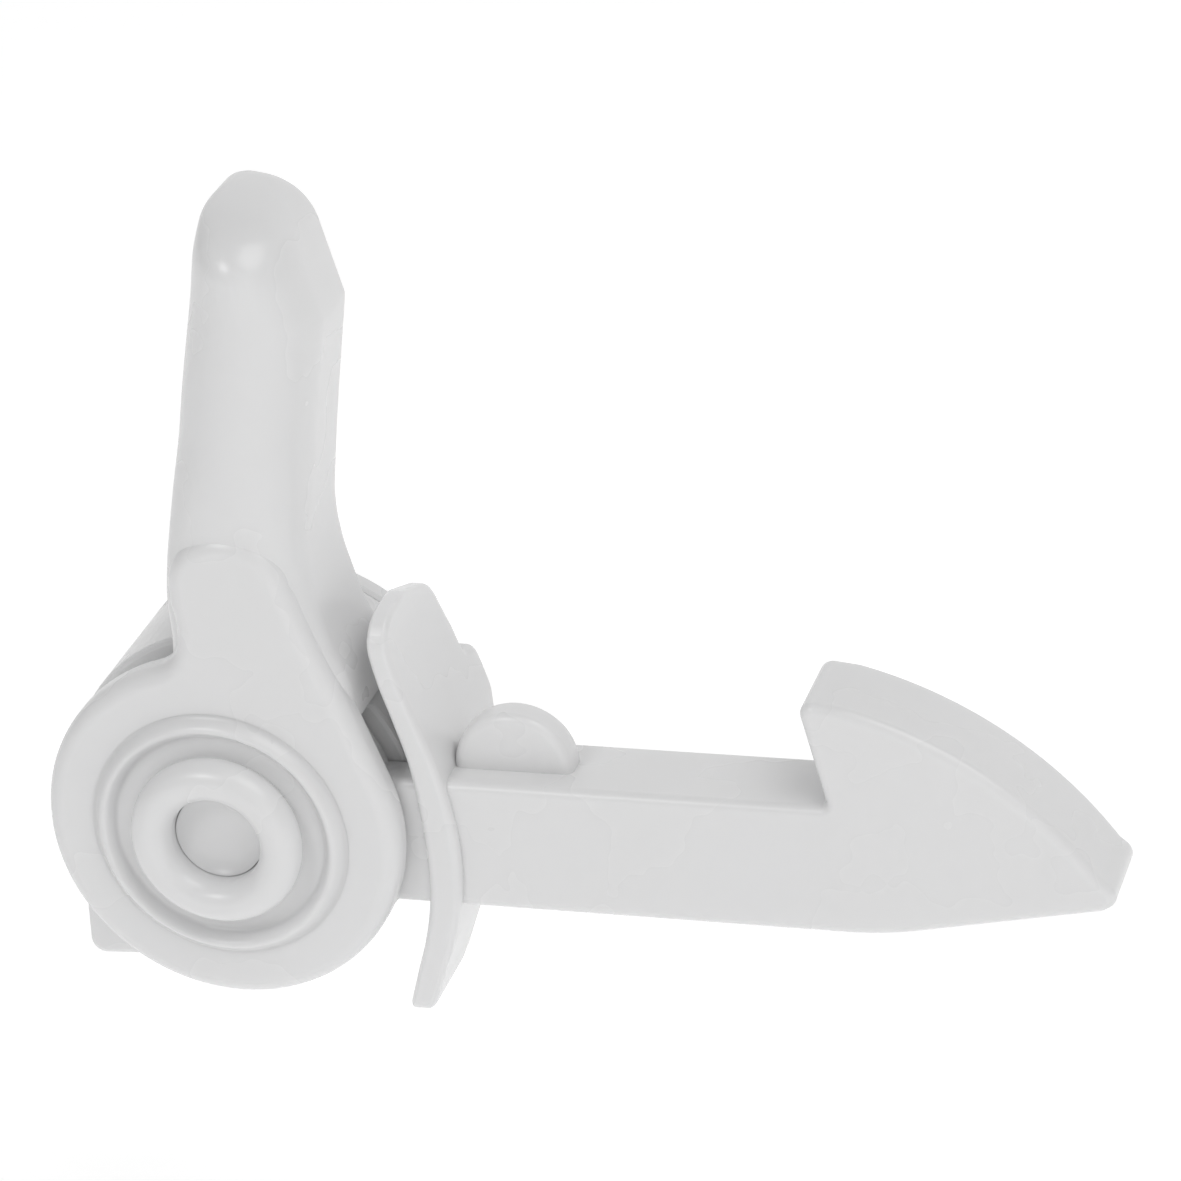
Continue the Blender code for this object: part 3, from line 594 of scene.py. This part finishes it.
def make_arm():
    """Root plate, bar, hook, half-round tab and paddle in one moulding, cored out behind."""
    arm = prism("arm", arm_outline(), ARM_BACK, ARM_FRONT, ARM_FRONT_R, ARM_BACK_R)
    boolean(arm, drill(HUB_R + GAP, ARM_BACK - CUT_PAST, ARM_FRONT - ROOT_RELIEF, steps=160))
    boolean(arm, prism("root", circle(ROOT_R), DRUM_TOP + GAP, ARM_FRONT), "UNION")
    boolean(arm, drill(SPIGOT_R + RUNNING, 0.0, FACE, steps=128))
    outline = arc(TAB_X, BAR_TOP, TAB_R, 0.0, 180.0, 48)
    outline += [(TAB_X - TAB_R, BAR_TOP - TAB_FOOT), (TAB_X + TAB_R, BAR_TOP - TAB_FOOT)]
    tab = prism("tab", outline, TAB_LOW, TAB_HIGH, 1.0, 1.0)
    boolean(arm, tab, "UNION")
    boolean(arm, make_paddle(), "UNION")
    for outline in arm_pockets():
        boolean(arm, prism("pocket", outline, ARM_BACK - CUT_PAST, ARM_FRONT - ARM_SKIN))
    return arm


# ---------------------------------------------------------------- materials
def link(tree, source, output, target, name):
    tree.links.new(source.outputs[output], target.inputs[name])


def moulded_plastic(name, colour, shade, roughness, scale=900.0):
    """Moulded plastic: faint clouding of the colour, a little uneven gloss and a fine moulded grain."""
    mat = bpy.data.materials.new(name)
    mat.use_nodes = True
    tree = mat.node_tree
    shader = tree.nodes["Principled BSDF"]
    coords = tree.nodes.new("ShaderNodeTexCoord")
    cloud = tree.nodes.new("ShaderNodeTexNoise")
    cloud.inputs["Scale"].default_value = 55.0
    cloud.inputs["Detail"].default_value = 3.0
    link(tree, coords, "Object", cloud, "Vector")
    ramp = tree.nodes.new("ShaderNodeValToRGB")
    ramp.color_ramp.elements[0].position = 0.2
    ramp.color_ramp.elements[0].color = (*shade, 1.0)
    ramp.color_ramp.elements[1].position = 0.8
    ramp.color_ramp.elements[1].color = (*colour, 1.0)
    link(tree, cloud, "Fac", ramp, "Fac")
    link(tree, ramp, "Color", shader, "Base Color")
    gloss = tree.nodes.new("ShaderNodeMapRange")
    gloss.inputs["To Min"].default_value = roughness - 0.03
    gloss.inputs["To Max"].default_value = roughness + 0.05
    link(tree, cloud, "Fac", gloss, "Value")
    link(tree, gloss, "Result", shader, "Roughness")
    grain = tree.nodes.new("ShaderNodeTexNoise")
    grain.inputs["Scale"].default_value = scale
    grain.inputs["Detail"].default_value = 2.0
    link(tree, coords, "Object", grain, "Vector")
    bump = tree.nodes.new("ShaderNodeBump")
    bump.inputs["Strength"].default_value = 0.02
    bump.inputs["Distance"].default_value = 0.0002
    link(tree, grain, "Fac", bump, "Height")
    link(tree, bump, "Normal", shader, "Normal")
    return mat


def turned_metal(name, colour, shade, roughness):
    """Bright metal with a fine, even grain."""
    mat = moulded_plastic(name, colour, shade, roughness, 2500.0)
    shader = mat.node_tree.nodes["Principled BSDF"]
    shader.inputs["Metallic"].default_value = 1.0
    return mat


def glossy_white(name):
    """White plastic that lets a little light in under its surface."""
    mat = moulded_plastic(name, (0.735, 0.735, 0.735), (0.725, 0.725, 0.73), 0.26)
    shader = mat.node_tree.nodes["Principled BSDF"]
    shader.inputs["Specular IOR Level"].default_value = 0.45
    shader.inputs["Subsurface Weight"].default_value = 0.2
    shader.inputs["Subsurface Scale"].default_value = 0.003
    shader.inputs["Subsurface Radius"].default_value = (1.0, 1.0, 1.0)
    return mat


WHITE = glossy_white("white_plastic")
ACETAL = moulded_plastic("acetal", (0.82, 0.82, 0.78), (0.79, 0.79, 0.75), 0.45)
STEEL = turned_metal("spring_steel", (0.60, 0.61, 0.63), (0.50, 0.51, 0.53), 0.30)
BRASS = turned_metal("brass_insert", (0.74, 0.56, 0.26), (0.64, 0.47, 0.20), 0.34)
BY_SLOT = {"white_plastic": WHITE, "acetal": ACETAL, "spring_steel": STEEL, "brass_insert": BRASS}


def paint(obj, mat):
    obj.data.materials.clear()
    obj.data.materials.append(mat)


# ---------------------------------------------------------------- pieces on their bodies
def place(obj, body, slot, *nodes):
    """Give a fine piece its surface, material and body, in place of its CAD nodes."""
    finish_surface(obj)
    paint(obj, BY_SLOT[slot])
    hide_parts(*nodes)
    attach(obj, body)


place(make_lever(), "lever", "white_plastic", "lever_shell")
place(make_bezel(), "lever", "white_plastic", "hub_bezel")
place(make_button(), "button", "white_plastic", "safety_button")
place(make_arm(), "arm", "white_plastic", "latch_arm")
arm_coil = make_coil("arm_coil", ARM_COIL_R, ARM_WIRE_R, ARM_COIL_LOW, ARM_COIL_HIGH, ARM_COIL_TURNS)
place(arm_coil, "housing", "spring_steel", "arm_spring")

# The button's spring rides with the button, on a mesh of its own.
button_coil = make_coil("button_coil", BUTTON_COIL_R, BUTTON_WIRE_R, COIL_LOW, COIL_HIGH, BUTTON_COIL_TURNS)
place(button_coil, "button", "spring_steel", "button_spring")
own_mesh(button_coil)

# The CAD nodes that stay in view take the same materials and a crisp-edged smooth shading.
for row in frame["record"]["subparts"]:
    node = frame["nodes"][row["node"]]
    if not node.hide_render:
        for index in range(len(node.material_slots)):
            node.material_slots[index].material = BY_SLOT[row["material_slot"]]
        node.data.shade_smooth()
        node.data.set_sharp_from_angle(angle=SHARP)


# ---------------------------------------------------------------- stage
def backdrop():
    """A pale floor that curves up into a pale wall far behind."""
    floor_z = -0.075
    near = -2.0
    bend = 1.2
    radius = 0.6
    half_width = 3.0
    top = 3.0
    steps = 12
    mesh = bpy.data.meshes.new("floor")
    path = [(near, floor_z), (bend, floor_z)]
    for i in range(steps + 1):
        angle = math.pi / 2.0 * i / steps
        path.append((bend + radius * math.sin(angle), floor_z + radius - radius * math.cos(angle)))
    path.append((bend + radius, top))
    verts = []
    for y, z in path:
        verts += [(-half_width, y, z), (half_width, y, z)]
    faces = [(2 * i, 2 * i + 1, 2 * i + 3, 2 * i + 2) for i in range(len(path) - 1)]
    mesh.from_pydata(verts, [], faces)
    mesh.shade_smooth()
    obj = add_object("floor", mesh)
    mat = bpy.data.materials.new("pale_floor")
    mat.use_nodes = True
    shader = mat.node_tree.nodes["Principled BSDF"]
    shader.inputs["Base Color"].default_value = (0.60, 0.60, 0.60, 1.0)
    shader.inputs["Roughness"].default_value = 0.9
    shader.inputs["Emission Color"].default_value = (1.0, 1.0, 1.0, 1.0)
    shader.inputs["Emission Strength"].default_value = 0.58
    paint(obj, mat)


def soft_light(name, position, target, size, power):
    """A round white area light that faces its target."""
    lamp = bpy.data.lights.new(name, "AREA")
    lamp.shape = "DISK"
    lamp.size = size
    lamp.energy = power
    obj = bpy.data.objects.new(name, lamp)
    bpy.context.scene.collection.objects.link(obj)
    obj.location = position
    aim = Vector(target) - Vector(position)
    obj.rotation_euler = aim.to_track_quat("-Z", "Y").to_euler()


def studio():
    """Three large soft lights and an even pale surround."""
    centre = (0.038, -0.015, 0.025)
    soft_light("key", (-0.45, -0.95, 0.85), centre, 0.45, 3.2)
    soft_light("top", (0.60, -0.35, 1.05), centre, 0.9, 5.2)
    soft_light("fill", (0.60, -0.95, 0.35), centre, 0.8, 0.9)
    world = bpy.data.worlds.new("studio")
    bpy.context.scene.world = world
    world.use_nodes = True
    background = world.node_tree.nodes["Background"]
    background.inputs["Color"].default_value = (1.0, 1.0, 1.0, 1.0)
    background.inputs["Strength"].default_value = 0.32
    bpy.context.scene.view_settings.view_transform = "Standard"


def camera():
    """A long lens, a little above and to the right of the front, as in a catalogue picture."""
    azimuth = math.radians(17.364)
    elevation = math.radians(25.422)
    roll = math.radians(-4.432)
    distance = 0.51893
    target = Vector((0.043737, -FACE * MM, 0.031781))
    back = Vector((math.sin(azimuth) * math.cos(elevation), -math.cos(azimuth) * math.cos(elevation),
                   math.sin(elevation)))
    level = Vector((math.cos(azimuth), math.sin(azimuth), 0.0))
    upright = back.cross(level)
    right = math.cos(roll) * level + math.sin(roll) * upright
    up = -math.sin(roll) * level + math.cos(roll) * upright
    lens = bpy.data.cameras.new("camera")
    lens.lens = 154.3
    lens.sensor_width = 36.0
    lens.clip_start = 0.01
    obj = bpy.data.objects.new("camera", lens)
    bpy.context.scene.collection.objects.link(obj)
    obj.matrix_world = Matrix((
        (right.x, up.x, back.x, target.x + distance * back.x),
        (right.y, up.y, back.y, target.y + distance * back.y),
        (right.z, up.z, back.z, target.z + distance * back.z),
        (0.0, 0.0, 0.0, 1.0)))
    bpy.context.scene.camera = obj


backdrop()
studio()
camera()
